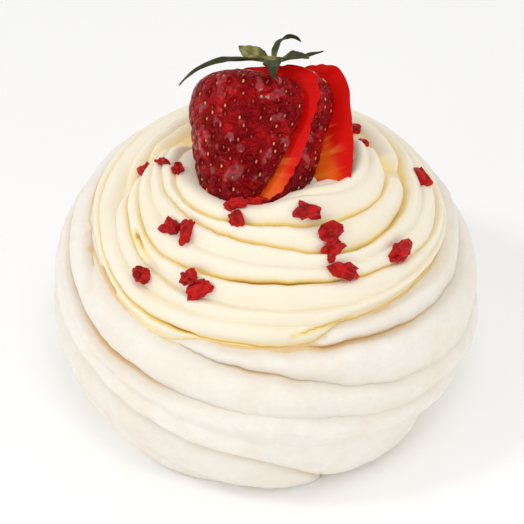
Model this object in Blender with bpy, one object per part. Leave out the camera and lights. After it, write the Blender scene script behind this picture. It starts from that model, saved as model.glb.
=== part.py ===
"""Mini pavlova: a piped meringue nest, a piped cream swirl and a sliced strawberry.

Metres, +Z up, base of the meringue on z = 0, axis of the swirl on the Z axis,
front towards -Y.
"""
import math

import bmesh
import bpy
import numpy as np
from mathutils import Matrix, Vector

MM = 0.001
GAP = 0.35                       # clearance kept between neighbouring pieces, mm
POCKET_MORE = 1.1                # pockets run on this far behind each cut, mm
TURN_STEPS = 64                  # steps around one turn of the swirl

# Outline of the whole swirl, radius and height in mm, from the base edge to the top.
OUTLINE = (
    (33.5, 0.0), (36.0, 3.5), (38.6, 9.0), (40.8, 15.0), (42.1, 21.5), (41.6, 28.0),
    (39.6, 34.5), (36.6, 40.0), (33.0, 44.8), (29.2, 48.6), (25.0, 51.8), (20.5, 54.6),
    (16.0, 56.6), (11.0, 57.2), (5.0, 57.0), (0.5, 56.8),
)

# Places around the swirl, degrees of travel clockwise from the front as seen from above.
PLACES = (-75.0, -40.0, 0.0, 40.0, 75.0, 120.0, 180.0)
DEPTH_PLACES = (-75.0, 0.0, 75.0, 180.0)

# Creases between the piped ridges.  For each one: distance up the side in mm at every
# place, then its depth in mm at the right, front, left and back, then how sharp it is
# there.  The crests are where each ridge stands out most, as a share of its width.
MERINGUE_RIDGES = 4              # ridges laid down by one turn of the meringue bag
MERINGUE_SPACING = 8.0           # spacing of the creases below the list, mm
MERINGUE_FIRST = -1
MERINGUE_CREASES = (
    ((-35.0, -24.0, -6.0, 10.0, 17.0, 21.0, 24.0), (1.0, 0.6, 0.3, 1.3), (0.5, 0.4, 0.2, 0.6)),
    ((-30.0, -16.0, 14.8, 24.6, 31.0, 34.5, 38.5), (1.2, 1.3, 2.8, 2.0), (0.8, 0.9, 1.0, 0.9)),
    ((4.0, 15.5, 22.8, 29.0, 35.0, 38.5, 42.5), (1.1, 0.4, 0.1, 1.0), (0.2, 0.1, 0.1, 0.6)),
    ((17.5, 22.8, 29.4, 32.9, 38.8, 42.5, 46.0), (0.9, 0.9, 2.6, 1.6), (0.2, 0.4, 1.0, 0.9)),
    ((25.0, 29.6, 38.0, 42.6, 46.8, 50.0, 51.5), (1.0, 1.3, 1.6, 1.6), (0.3, 0.7, 0.9, 0.8)),
    ((37.5, 40.3, 43.0, 44.5, 49.5, 54.0, 57.5), (1.7, 2.1, 1.2, 1.2), (0.6, 1.0, 0.8, 0.8)),
    ((45.0, 45.2, 47.2, 48.4, 54.0, 62.0, 64.0), (2.2, 1.2, 1.5, 1.5), (1.0, 0.6, 0.8, 0.8)),
)
MERINGUE_ROWS = (0.0, 0.28, 0.62, 0.86)
MERINGUE_UNDER = 4               # creases carried on below the list, round the back
MERINGUE_CRESTS = (0.72, 0.55, 0.30, 0.50)

CREAM_RIDGES = 5                 # ridges laid down by one turn of the cream bag
CREAM_SPACING = 4.2
CREAM_FIRST = -1
CREAM_CREASES = (
    ((30.0, 31.0, 38.0, 42.6, 46.8, 51.0, 53.8), (1.0, 1.2, 1.6, 1.4), (0.6, 0.8, 0.9, 0.8)),
    ((37.5, 40.3, 43.0, 44.5, 49.5, 54.0, 57.8), (1.7, 2.1, 1.0, 1.0), (0.8, 1.0, 0.8, 0.8)),
    ((45.0, 45.2, 47.2, 48.4, 54.0, 61.5, 63.5), (2.4, 0.5, 1.2, 1.0), (0.8, 0.3, 0.4, 0.7)),
    ((46.9, 48.0, 49.9, 51.6, 57.3, 64.3, 66.2), (0.5, 0.7, 1.3, 0.5), (0.3, 0.3, 0.8, 0.5)),
    ((48.8, 52.0, 54.8, 55.2, 60.0, 66.5, 68.7), (0.8, 1.7, 1.1, 0.4), (0.6, 1.0, 0.7, 0.5)),
    ((53.0, 54.8, 58.2, 60.0, 62.7, 68.5, 71.5), (0.6, 0.4, 0.7, 0.4), (0.3, 0.2, 0.5, 0.4)),
    ((56.4, 57.2, 61.8, 63.6, 65.2, 70.5, 74.0), (2.2, 1.3, 0.9, 0.4), (0.6, 0.8, 0.6, 0.4)),
    ((61.4, 63.4, 65.6, 65.4, 68.0, 72.5, 76.0), (1.2, 1.5, 1.1, 0.4), (0.6, 0.9, 0.7, 0.4)),
    ((66.0, 68.5, 71.6, 72.5, 73.5, 75.5, 78.5), (0.4, 0.6, 0.6, 0.3), (0.4, 0.4, 0.4, 0.4)),
)
CREAM_ROWS = (0.0, 0.34, 0.68)
CREAM_UNDER = 4
CREAM_CRESTS = (0.66, 0.74, 0.60, 0.60)
CREAM_END = 79.0                 # distance up the side where the swirl closes, mm

RIDGE_SWELL = 0.5                # how far the ridge crests stand outside the outline, mm

# Height of the line where cream meets meringue, measured up the side, mm.
MEET_PLACES = (-75.0, -40.0, -24.0, -13.0, 0.0, 18.0, 30.0, 40.0, 75.0, 120.0, 180.0)
MEET_LINE = (44.3, 45.3, 45.6, 43.2, 42.9, 43.2, 41.4, 42.2, 47.5, 48.8, 47.5)
MEET_DEPTH = (2.2, 1.8, 1.5, 1.2)    # depth of that line at the right, front, left and back
MEET_WIDTH = 1.3
NEST_TOP = 38.5                  # height of the middle of the meringue under the cream, mm

# Valley behind the last curl of cream: its distance up the side along its run, mm.
VALLEY_PLACES = (70.0, 81.0, 86.0, 92.0, 100.0, 107.0, 140.0, 180.0, 230.0, 256.0, 262.0, 280.0)
VALLEY_LINE = (55.0, 56.6, 58.6, 61.0, 65.0, 67.2, 68.0, 67.6, 66.0, 63.6, 60.2, 59.4)
VALLEY_DEPTH = 3.8
VALLEY_WIDTH = 2.9

# Hollow inside the last curl that the fruit sits in, and the fold of cream before it.
HOLLOW_AT = 69.5
HOLLOW_DEPTH = 2.4
FOLD = (-28.0, 70.3, 25.0, 2.8, 3.0)

# Strawberry, cut lengthwise in three and fanned to the right, mm and degrees.
BERRY_OUTLINE = (
    (0.0, 0.0), (3.6, 0.7), (6.8, 3.1), (8.8, 7.1), (10.4, 11.8), (11.6, 16.7),
    (12.6, 21.1), (12.3, 24.5), (10.1, 26.9), (6.3, 27.9), (2.3, 27.4), (0.0, 27.2),
)
BERRY_STEPS = 28
BERRY_TIP = (0.8, -13.0, 49.9)
BERRY_LEAN = 56.0
BERRY_TURN = 19.5
# For each slice: cut plane in front and behind, slide right, back and up, roll, turn.
SLICE_FRONT = (-20.0, -5.3, -6.1, -1.0, -0.6, 10.0, -0.6)
SLICE_MIDDLE = (-4.9, 1.4, -1.0, -0.5, 0.6, 1.8, 2.4)
SLICE_BACK = (1.8, 20.0, 9.6, 0.4, 1.9, -18.3, 3.2)

# Calyx: hub and leaf blades (direction, length, width, rise, curl, roll).
HUB_RADIUS = 1.6
HUB_HEIGHT = 0.9
HUB_LIFT = 1.4
HUB_SLIDE = 2.6
HUB_BACK = -6.5
LEAF_THICK = 0.5
LEAVES = (
    (195.0, 16.8, 2.4, 8.0, -62.0, -45.0),
    (158.0, 8.2, 3.6, 34.0, 6.0, -60.0),
    (50.0, 8.8, 2.8, 88.0, -125.0, 0.0),
    (22.0, 8.4, 1.8, 10.0, 12.0, 40.0),
    (-22.0, 7.8, 2.6, -4.0, -22.0, 55.0),
    (-68.0, 8.4, 3.0, -30.0, -42.0, 0.0),
)


def clear_file():
    for item in list(bpy.data.objects):
        bpy.data.objects.remove(item, do_unlink=True)


def make_material(name, color, roughness, subsurface=0.0, coat=0.0):
    material = bpy.data.materials.new(name)
    material.use_nodes = True
    shader = material.node_tree.nodes["Principled BSDF"]
    shader.inputs["Base Color"].default_value = (color[0], color[1], color[2], 1.0)
    shader.inputs["Roughness"].default_value = roughness
    shader.inputs["Subsurface Weight"].default_value = subsurface
    shader.inputs["Coat Weight"].default_value = coat
    material.diffuse_color = (color[0], color[1], color[2], 1.0)
    return material


def meringue_material():
    return make_material("meringue", (0.90, 0.87, 0.82), 0.85)


def cream_material():
    return make_material("cream", (0.93, 0.88, 0.74), 0.5)


def strawberry_material():
    return make_material("strawberry", (0.46, 0.01, 0.015), 0.22, coat=0.6)


def leaf_material():
    return make_material("leaf", (0.16, 0.22, 0.06), 0.6)


def curve_slopes(xs, ys):
    """Slopes that keep a smooth line through the points from overshooting."""
    steps = np.diff(xs)
    rises = np.diff(ys) / steps
    slopes = np.zeros(len(xs))
    slopes[0] = rises[0]
    slopes[-1] = rises[-1]
    for i in range(1, len(xs) - 1):
        if rises[i - 1] * rises[i] > 0.0:
            before = 2.0 * steps[i] + steps[i - 1]
            after = steps[i] + 2.0 * steps[i - 1]
            slopes[i] = (before + after) / (before / rises[i - 1] + after / rises[i])
    return slopes


def smooth_line(xs, ys, at):
    """Value of the smooth line through the points (xs, ys) at each place."""
    xs = np.asarray(xs, dtype=float)
    ys = np.asarray(ys, dtype=float)
    at = np.asarray(at, dtype=float)
    slopes = curve_slopes(xs, ys)
    i = np.clip(np.searchsorted(xs, at) - 1, 0, len(xs) - 2)
    step = xs[i + 1] - xs[i]
    t = (at - xs[i]) / step
    a = ys[i] * (1.0 + 2.0 * t) * (1.0 - t) ** 2
    b = slopes[i] * step * t * (1.0 - t) ** 2
    c = ys[i + 1] * t * t * (3.0 - 2.0 * t)
    d = slopes[i + 1] * step * t * t * (t - 1.0)
    return a + b + c + d


def around(places, values, travel):
    """Smooth value given by its values at the places round the swirl."""
    xs = [places[-1] - 360.0] + list(places) + [places[0] + 360.0]
    ys = [values[-1]] + list(values) + [values[0]]
    return float(smooth_line(xs, ys, travel))


class Outline:
    """The outline as a line of radius and height against distance up the side."""

    def __init__(self, points):
        table = np.array(points, dtype=float)
        steps = np.hypot(np.diff(table[:, 0]), np.diff(table[:, 1]))
        self.at = np.concatenate(([0.0], np.cumsum(steps)))
        self.radii = table[:, 0]
        self.heights = table[:, 1]

    def place(self, s, out):
        radius = smooth_line(self.at, self.radii, s)
        height = smooth_line(self.at, self.heights, s)
        d_radius = smooth_line(self.at, self.radii, s + 0.05) - radius
        d_height = smooth_line(self.at, self.heights, s + 0.05) - height
        size = np.hypot(d_radius, d_height)
        lift = np.clip(s / 3.0, 0.0, 1.0)
        return radius + out * d_height / size, height - out * lift * d_radius / size


class Ridges:
    """A family of creases climbing clockwise round the swirl."""

    def __init__(self, creases, first, per_turn, spacing, under, crests):
        self.creases = creases
        self.first = first
        self.per_turn = per_turn
        self.spacing = spacing
        self.under = under
        self.crests = crests

    def row(self, k):
        """Crease k; past the ends of the list it is carried on at an even spacing."""
        i = k - self.first
        last = len(self.creases) - 1
        if i < 0:
            heights, depths, sharp = self.creases[0]
            return [h + self.spacing * i for h in heights], depths, sharp
        if i > last:
            heights, depths, sharp = self.creases[last]
            return [h + 3.0 * (i - last) for h in heights], depths, sharp
        return self.creases[i]

    def run(self, k, places, pick, travel):
        """Value of crease k along its turn, eased into the turns before and after."""
        before = self.row(k - self.per_turn)
        here = self.row(k)
        after = self.row(k + self.per_turn)
        xs = [p - 360.0 for p in places[-2:]] + list(places) + [p + 360.0 for p in places[:2]]
        ys = list(before[pick][-2:]) + list(here[pick]) + list(after[pick][:2])
        return float(smooth_line(xs, ys, travel))

    def heights(self, k, travel):
        return self.run(k, PLACES, 0, travel)

    def lowest(self):
        return self.first - self.under

    def highest(self):
        return self.first + len(self.creases) + self.per_turn

    def swell(self, k, share, travel):
        """How far the ridge above crease k stands out at a share of its width."""
        crest = around(DEPTH_PLACES, self.crests, travel)
        edge, side = (k, crest) if share < crest else (k + 1, 1.0 - crest)
        t = (share if share < crest else 1.0 - share) / side
        depth = self.run(edge, DEPTH_PLACES, 1, travel)
        sharp = self.run(edge, DEPTH_PLACES, 2, travel)
        soft_rise = t * t * (3.0 - 2.0 * t)
        sharp_rise = 1.0 - (1.0 - t) ** (3.6 - 2.0 * side)
        rise = sharp * sharp_rise + (1.0 - sharp) * soft_rise
        return RIDGE_SWELL * rise - depth * (1.0 - rise)


def meeting_height(travel):
    return around(MEET_PLACES, MEET_LINE, travel)


def meeting_stand(travel, s, stand):
    """Ease the surface down into the line where cream meets meringue."""
    depth = around(DEPTH_PLACES, MEET_DEPTH, travel)
    near = math.exp(-((s - meeting_height(travel)) / MEET_WIDTH) ** 2)
    return stand * (1.0 - near) - depth * near


def ease(value, start, end):
    t = min(max((value - start) / (end - start), 0.0), 1.0)
    return t * t * (3.0 - 2.0 * t)


def valley(travel, s):
    """Depth of the valley round the back and of the hollow, less the fold of cream."""
    along = travel if travel > 0.0 else travel + 360.0
    depth = 0.0
    if VALLEY_PLACES[0] < along < VALLEY_PLACES[-1]:
        fade = ease(along, VALLEY_PLACES[0], 95.0) * ease(along, VALLEY_PLACES[-1], 262.0)
        middle = float(smooth_line(VALLEY_PLACES, VALLEY_LINE, along))
        depth = VALLEY_DEPTH * fade * math.exp(-((s - middle) / VALLEY_WIDTH) ** 2)
    depth += HOLLOW_DEPTH * ease(s, HOLLOW_AT - 2.5, HOLLOW_AT + 2.5)
    place, height, half_place, half_height, rise = FOLD
    depth -= rise * math.exp(
        -((travel - place) / half_place) ** 2 - ((s - height) / half_height) ** 2)
    return -depth


def travel_point(travel, radius, height):
    angle = math.radians(-90.0 - travel)
    x = radius * math.cos(angle) * MM
    y = radius * math.sin(angle) * MM
    return Vector((x, y, height * MM))


def ridge_sheet(ridges, rows, low, high):
    """Flat helical grid following the creases, cut to the strip between low and high.

    The sheet is laid out with travel along X and share of the strip along Y; the
    distance the surface stands out is kept in a vertex layer.
    """
    outline = Outline(OUTLINE)
    first = ridges.lowest()
    columns = (ridges.highest() - first) * len(rows)
    start = 180.0
    bm = bmesh.new()
    bmesh.ops.create_grid(bm, x_segments=TURN_STEPS, y_segments=columns, size=1.0)
    stand = bm.verts.layers.float.new("stand")
    for vert in bm.verts:
        i = round((vert.co.x + 1.0) / 2.0 * TURN_STEPS)
        j = round((vert.co.y + 1.0) / 2.0 * columns)
        travel = start - 360.0 + 360.0 * i / TURN_STEPS
        k = first + j // len(rows)
        share = rows[j % len(rows)]
        below = float(ridges.heights(k, travel))
        above = float(ridges.heights(k + 1, travel))
        s = below + share * (above - below)
        bottom = low(travel)
        top = high(travel)
        vert[stand] = float(ridges.swell(k, share, travel)) + valley(travel, s)
        vert.co = Vector((travel, (s - bottom) / (top - bottom), 0.0))
    for level, upper in ((0.0, False), (1.0, True)):
        bmesh.ops.bisect_plane(
            bm, geom=bm.verts[:] + bm.edges[:] + bm.faces[:], dist=1e-6,
            plane_co=(0.0, level, 0.0), plane_no=(0.0, 1.0, 0.0),
            clear_inner=not upper, clear_outer=upper)
    for vert in bm.verts:
        travel = vert.co.x
        bottom = low(travel)
        s = bottom + vert.co.y * (high(travel) - bottom)
        radius, height = outline.place(s, meeting_stand(travel, s, vert[stand]))
        vert.co = travel_point(travel, float(radius), max(float(height), 0.0))
    bmesh.ops.remove_doubles(bm, verts=bm.verts[:], dist=0.00008)
    return bm


def draw_in(bm, edges, share, middle):
    """Extrude a rim towards the middle point, leaving it at a share of the way."""
    made = bmesh.ops.extrude_edge_only(bm, edges=edges)
    verts = [g for g in made["geom"] if isinstance(g, bmesh.types.BMVert)]
    for vert in verts:
        vert.co = middle + (vert.co - middle) * share
    return [g for g in made["geom"] if isinstance(g, bmesh.types.BMEdge)]


def close_rim(bm, edges, middle):
    """Close a rim with a fan of faces that meet at the middle point."""
    edges = draw_in(bm, edges, 0.72, middle)
    edges = draw_in(bm, edges, 0.45, middle)
    made = bmesh.ops.extrude_edge_only(bm, edges=edges)
    verts = [g for g in made["geom"] if isinstance(g, bmesh.types.BMVert)]
    bmesh.ops.pointmerge(bm, verts=verts, merge_co=middle)


def close_flat(bm, edges):
    """Close a rim with a single flat face."""
    bmesh.ops.contextual_create(bm, geom=edges)


def finish_mesh(bm):
    bmesh.ops.remove_doubles(bm, verts=bm.verts[:], dist=0.00003)
    bmesh.ops.dissolve_degenerate(bm, dist=0.00001, edges=bm.edges[:])
    bmesh.ops.recalc_face_normals(bm, faces=bm.faces[:])


def add_object(name, bm, material):
    mesh = bpy.data.meshes.new(name)
    bm.to_mesh(mesh)
    bm.free()
    mesh.shade_smooth()
    mesh.set_sharp_from_angle(angle=math.radians(50.0))
    item = bpy.data.objects.new(name, mesh)
    mesh.materials.append(material)
    bpy.context.scene.collection.objects.link(item)
    return item


def open_rims(bm):
    """Rims of the joined sheet, lower one first."""
    groups = []
    left = {e for e in bm.edges if e.is_boundary}
    while left:
        stack = [left.pop()]
        group = []
        while stack:
            edge = stack.pop()
            group.append(edge)
            for vert in edge.verts:
                for other in vert.link_edges:
                    if other in left:
                        left.discard(other)
                        stack.append(other)
        groups.append(group)
    groups.sort(key=lambda g: sum(e.verts[0].co.z for e in g) / len(g))
    return groups


def make_meringue(material):
    ridges = Ridges(
        MERINGUE_CREASES, MERINGUE_FIRST, MERINGUE_RIDGES, MERINGUE_SPACING, MERINGUE_UNDER,
        MERINGUE_CRESTS)
    bm = ridge_sheet(
        ridges, MERINGUE_ROWS, lambda travel: 0.0, lambda travel: float(meeting_height(travel)))
    base, top = open_rims(bm)
    close_flat(bm, base)
    close_rim(bm, top, Vector((0.0, 0.0, NEST_TOP * MM)))
    finish_mesh(bm)
    return add_object("meringue", bm, material)


def make_cream(material):
    ridges = Ridges(
        CREAM_CREASES, CREAM_FIRST, CREAM_RIDGES, CREAM_SPACING, CREAM_UNDER, CREAM_CRESTS)
    bm = ridge_sheet(
        ridges, CREAM_ROWS, lambda travel: float(meeting_height(travel)) + GAP,
        lambda travel: CREAM_END)
    base, top = open_rims(bm)
    close_rim(bm, base, Vector((0.0, 0.0, (NEST_TOP + GAP) * MM)))
    close_rim(bm, top, Vector((0.0, 0.0, OUTLINE[-1][1] * MM)))
    finish_mesh(bm)
    return add_object("cream", bm, material)


def berry_frame(slide, back, lift, roll, swing):
    """Placing of one slice: lean and turn of the fruit, then its own slide, roll and turn."""
    tip = Matrix.Translation(Vector(BERRY_TIP) * MM)
    lean = Matrix.Rotation(math.radians(-BERRY_LEAN), 4, "X")
    turn = Matrix.Rotation(math.radians(-BERRY_TURN), 4, "Z")
    move = Matrix.Translation(Vector((slide, back, lift)) * MM)
    own = Matrix.Rotation(math.radians(swing), 4, "Z")
    tilt = Matrix.Rotation(math.radians(roll), 4, "Y")
    return tip @ lean @ turn @ move @ own @ tilt


def berry_slice(front, behind, placing, extra):
    """One slice of the fruit, grown by extra mm all over."""
    bm = bmesh.new()
    points = [bm.verts.new((r * MM, 0.0, z * MM)) for r, z in BERRY_OUTLINE]
    chain = [bm.edges.new((a, b)) for a, b in zip(points, points[1:])]
    bmesh.ops.spin(
        bm, geom=points + chain, cent=(0.0, 0.0, 0.0), axis=(0.0, 0.0, 1.0),
        angle=2.0 * math.pi, steps=BERRY_STEPS, use_merge=True)
    bmesh.ops.remove_doubles(bm, verts=bm.verts[:], dist=0.00003)
    for plane, upper in ((front, False), (behind, True)):
        if abs(plane) > BERRY_OUTLINE[6][0]:
            continue
        bmesh.ops.bisect_plane(
            bm, geom=bm.verts[:] + bm.edges[:] + bm.faces[:], dist=1e-6,
            plane_co=(0.0, plane * MM, 0.0), plane_no=(0.0, 1.0, 0.0),
            clear_inner=not upper, clear_outer=upper)
        bmesh.ops.contextual_create(bm, geom=[e for e in bm.edges if e.is_boundary])
    bmesh.ops.recalc_face_normals(bm, faces=bm.faces[:])
    if extra:
        bm.normal_update()
        moves = [(v, v.normal * v.calc_shell_factor() * extra * MM) for v in bm.verts]
        for vert, move in moves:
            vert.co += move
    bmesh.ops.transform(bm, matrix=berry_frame(*placing), verts=bm.verts[:])
    return bm


def make_slice(name, sizes, material):
    front, behind, *placing = sizes
    return add_object(name, berry_slice(front, behind, placing, 0.0), material)


def cut_pocket(cream, sizes):
    """Cut the hollow that one slice is pressed into."""
    front, behind, *placing = sizes
    mesh = berry_slice(front - POCKET_MORE, behind + POCKET_MORE, placing, GAP)
    cutter = add_object("pocket", mesh, cream.data.materials[0])
    cutter.hide_render = True
    cutter.display_type = "WIRE"
    cut = cream.modifiers.new("pocket", "BOOLEAN")
    cut.operation = "DIFFERENCE"
    cut.solver = "EXACT"
    cut.object = cutter
    return cutter


def leaf_blade(bm, face, direction, length, width, rise, curl, roll):
    """Draw one hub face out into a tapering, curling leaf."""
    steps = 5
    shares = (0.55, 1.0, 0.95, 0.62, 0.12)
    angle = math.radians(direction)
    across = Vector((-math.sin(angle), math.cos(angle), 0.0))
    centre = face.calc_center_median()
    marks = [(v.co.copy(), math.copysign(1.0, (v.co - centre).dot(across)),
              math.copysign(1.0, v.co.z - centre.z)) for v in face.verts]
    for step in range(steps):
        bend = math.radians(rise + curl * ((step + 0.5) / steps) ** 1.6)
        forward = Vector((math.cos(angle) * math.cos(bend), math.sin(angle) * math.cos(bend),
                          math.sin(bend)))
        turn = Matrix.Rotation(math.radians(roll) * min(1.0, (step + 1.0) / 3.0), 3, forward)
        wide = turn @ across
        thick = turn @ forward.cross(across)
        made = bmesh.ops.extrude_discrete_faces(bm, faces=[face])
        face = made["faces"][0]
        centre = centre + forward * (length / steps) * MM
        half_width = width * shares[step] / 2.0 * MM
        half_thick = LEAF_THICK / 2.0 * MM * (0.6 if step == steps - 1 else 1.0)
        corners = [(v, min(marks, key=lambda mark: (mark[0] - v.co).length))
                   for v in face.verts]
        marks = []
        for vert, (_, side, level) in corners:
            vert.co = centre + wide * half_width * side + thick * half_thick * level
            marks.append((vert.co.copy(), side, level))
    return face


def make_leaves(material):
    bm = bmesh.new()
    sides = 3 * len(LEAVES)
    bmesh.ops.create_cone(
        bm, cap_ends=True, cap_tris=False, segments=sides, radius1=HUB_RADIUS * MM,
        radius2=HUB_RADIUS * MM, depth=HUB_HEIGHT * MM)
    for direction, *sizes in LEAVES:
        aim = Vector((math.cos(math.radians(direction)), math.sin(math.radians(direction)), 0.0))
        side_faces = [f for f in bm.faces if abs(f.normal.z) < 0.2 and len(f.verts) == 4
                      and abs(f.calc_center_median().length - HUB_RADIUS * MM) < 0.2 * MM]
        face = max(side_faces, key=lambda f: f.normal.dot(aim))
        leaf_blade(bm, face, direction, *sizes)
        bm.normal_update()
    top = BERRY_OUTLINE[-2][1] + HUB_LIFT
    place = berry_frame(HUB_SLIDE, HUB_BACK, top, 0.0, 0.0)
    bmesh.ops.transform(bm, matrix=place, verts=bm.verts[:])
    bmesh.ops.recalc_face_normals(bm, faces=bm.faces[:])
    if bm.calc_volume(signed=True) < 0.0:
        bmesh.ops.reverse_faces(bm, faces=bm.faces[:])
    return add_object("strawberry_leaves", bm, material)


def main():
    clear_file()
    fruit = strawberry_material()
    make_meringue(meringue_material())
    cream = make_cream(cream_material())
    for name, sizes in (
            ("strawberry_slice_front", SLICE_FRONT),
            ("strawberry_slice_middle", SLICE_MIDDLE),
            ("strawberry_slice_back", SLICE_BACK)):
        make_slice(name, sizes, fruit)
        cut_pocket(cream, sizes)
    make_leaves(leaf_material())


main()
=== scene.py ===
"""Mini pavlova: the dressed model of the packed part, laid out as an add-on."""
import math

import bmesh
import bpy
import numpy as np
from bpy.props import FloatProperty, FloatVectorProperty, IntProperty, PointerProperty
from mathutils import Matrix, Vector, noise
from mathutils.bvhtree import BVHTree


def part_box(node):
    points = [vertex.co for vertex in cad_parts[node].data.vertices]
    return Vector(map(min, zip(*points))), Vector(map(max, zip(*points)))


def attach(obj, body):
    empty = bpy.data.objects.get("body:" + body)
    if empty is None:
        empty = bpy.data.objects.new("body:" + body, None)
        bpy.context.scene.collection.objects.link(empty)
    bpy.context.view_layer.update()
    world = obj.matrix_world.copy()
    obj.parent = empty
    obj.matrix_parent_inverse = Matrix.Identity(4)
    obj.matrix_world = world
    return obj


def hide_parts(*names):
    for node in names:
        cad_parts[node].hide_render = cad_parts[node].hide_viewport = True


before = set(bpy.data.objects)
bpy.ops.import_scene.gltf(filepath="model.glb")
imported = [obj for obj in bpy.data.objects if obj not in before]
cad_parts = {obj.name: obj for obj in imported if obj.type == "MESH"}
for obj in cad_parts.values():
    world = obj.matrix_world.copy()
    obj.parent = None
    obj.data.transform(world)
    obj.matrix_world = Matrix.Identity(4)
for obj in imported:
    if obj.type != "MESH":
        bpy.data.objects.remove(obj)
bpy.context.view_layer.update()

bl_info = {
    "name": "Mini pavlova",
    "version": (1, 0, 0),
    "blender": (4, 5, 0),
    "location": "View3D > Sidebar > Pavlova",
    "description": "Builds a piped meringue and cream pavlova with a sliced strawberry",
    "category": "Object",
}

MM = 0.001

# ---------------------------------------------------------------- shape of the swirl

# Outline of the whole swirl, radius and height in mm, from the base edge to the top.
OUTLINE = (
    (33.5, 0.0), (36.0, 3.5), (38.6, 9.0), (40.8, 15.0), (42.1, 21.5), (41.6, 28.0),
    (39.6, 34.5), (36.6, 40.0), (33.0, 44.8), (29.2, 48.6), (25.0, 51.8), (20.5, 54.6),
    (16.0, 56.6), (11.0, 57.2), (5.0, 57.0), (0.5, 56.8),
)

# Places around the swirl, degrees of travel clockwise from the front as seen from above.
PLACES = (-75.0, -40.0, 0.0, 40.0, 75.0, 120.0, 180.0)
DEPTH_PLACES = (-75.0, 0.0, 75.0, 180.0)

# Creases between the piped ridges.  For each one: distance up the side in mm at every
# place, then its depth in mm at the right, front, left and back, then how sharp it is
# there.  The crests are where each ridge stands out most, as a share of its width.
MERINGUE_RIDGES = 4
MERINGUE_SPACING = 8.0
MERINGUE_FIRST = -1
MERINGUE_UNDER = 4
MERINGUE_CRESTS = (0.72, 0.55, 0.30, 0.50)
MERINGUE_CREASES = (
    ((-35.0, -24.0, -6.0, 10.0, 17.0, 21.0, 24.0), (1.0, 0.6, 0.3, 1.3), (0.5, 0.4, 0.2, 0.6)),
    ((-30.0, -16.0, 14.8, 24.6, 31.0, 34.5, 38.5), (1.2, 1.3, 2.8, 2.0), (0.8, 0.9, 1.0, 0.9)),
    ((4.0, 15.5, 22.8, 29.0, 35.0, 38.5, 42.5), (1.1, 0.4, 0.1, 1.0), (0.2, 0.1, 0.1, 0.6)),
    ((17.5, 22.8, 29.4, 32.9, 38.8, 42.5, 46.0), (0.9, 0.9, 2.6, 1.6), (0.2, 0.4, 1.0, 0.9)),
    ((25.0, 29.6, 38.0, 42.6, 46.8, 50.0, 51.5), (1.0, 1.3, 1.6, 1.6), (0.3, 0.7, 0.9, 0.8)),
    ((37.5, 40.3, 43.0, 44.5, 49.5, 54.0, 57.5), (1.7, 2.1, 1.2, 1.2), (0.6, 1.0, 0.8, 0.8)),
    ((45.0, 45.2, 47.2, 48.4, 54.0, 62.0, 64.0), (2.2, 1.2, 1.5, 1.5), (1.0, 0.6, 0.8, 0.8)),
)

CREAM_RIDGES = 5
CREAM_SPACING = 4.2
CREAM_FIRST = -1
CREAM_UNDER = 4
CREAM_CRESTS = (0.66, 0.74, 0.60, 0.60)
CREAM_CREASES = (
    ((30.0, 31.0, 38.0, 42.6, 46.8, 51.0, 53.8), (0.8, 1.0, 0.9, 1.1), (0.6, 0.8, 0.9, 0.8)),
    ((37.5, 40.3, 43.0, 44.5, 49.5, 54.0, 57.8), (1.4, 1.7, 0.6, 0.8), (0.8, 1.0, 0.8, 0.8)),
    ((45.0, 45.2, 47.2, 48.4, 54.0, 61.5, 63.5), (2.0, 0.4, 0.7, 0.8), (0.8, 0.3, 0.4, 0.7)),
    ((46.9, 48.0, 49.9, 51.6, 57.3, 64.3, 66.2), (0.4, 0.6, 0.7, 0.4), (0.3, 0.3, 0.8, 0.5)),
    ((48.8, 52.0, 54.8, 55.2, 60.0, 66.5, 68.7), (0.7, 1.4, 0.6, 0.3), (0.6, 1.0, 0.7, 0.5)),
    ((53.0, 54.8, 58.2, 60.0, 62.7, 68.5, 71.5), (0.5, 0.3, 0.4, 0.3), (0.3, 0.2, 0.5, 0.4)),
    ((56.4, 57.2, 61.8, 63.6, 65.2, 70.5, 74.0), (1.9, 1.0, 0.5, 0.3), (0.6, 0.8, 0.6, 0.4)),
    ((61.4, 63.4, 65.6, 65.4, 68.0, 72.5, 76.0), (1.0, 1.2, 0.6, 0.3), (0.6, 0.9, 0.7, 0.4)),
    ((66.0, 68.5, 71.6, 72.5, 73.5, 75.5, 78.5), (0.3, 0.5, 0.3, 0.2), (0.4, 0.4, 0.4, 0.4)),
)
CREAM_END = 79.0

# Tears in the ridges: travel, distance up the side and weight at both ends, width, mm.
TEARS = (
    (-8.0, 45.0, 0.8, -14.0, 45.7, 1.3, 0.42), (-14.0, 45.7, 1.3, -28.0, 46.1, 0.6, 0.36),
    (79.0, 46.2, 2.2, 72.0, 44.4, 1.8, 0.9), (72.0, 44.4, 1.8, 60.0, 41.6, 0.3, 0.6),
    (57.0, 55.3, 1.9, 52.0, 54.6, 1.2, 0.6), (52.0, 54.6, 1.2, 40.0, 52.6, 0.1, 0.6),
    (61.0, 45.4, 1.5, 52.0, 44.2, 1.0, 0.5),
)

# Line where cream meets meringue: height up the side and depth, mm.
MEET_PLACES = (-75.0, -40.0, -24.0, -13.0, 0.0, 18.0, 30.0, 40.0, 75.0, 120.0, 180.0)
MEET_LINE = (44.3, 45.3, 45.6, 43.2, 42.9, 43.2, 41.4, 42.2, 47.5, 48.8, 47.5)
MEET_DEPTH = (2.2, 1.7, 0.6, 1.0)
MEET_WIDTH = 1.3
NEST_TOP = 38.5

# Valley behind the last curl of cream: its distance up the side along its run, mm.
VALLEY_PLACES = (70.0, 81.0, 86.0, 92.0, 100.0, 107.0, 140.0, 180.0, 230.0, 256.0, 262.0, 280.0)
VALLEY_LINE = (55.0, 56.6, 58.6, 61.0, 65.0, 67.2, 68.0, 67.6, 66.0, 63.6, 60.2, 59.4)
VALLEY_DEPTH = 3.8
VALLEY_WIDTH = 2.9

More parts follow.
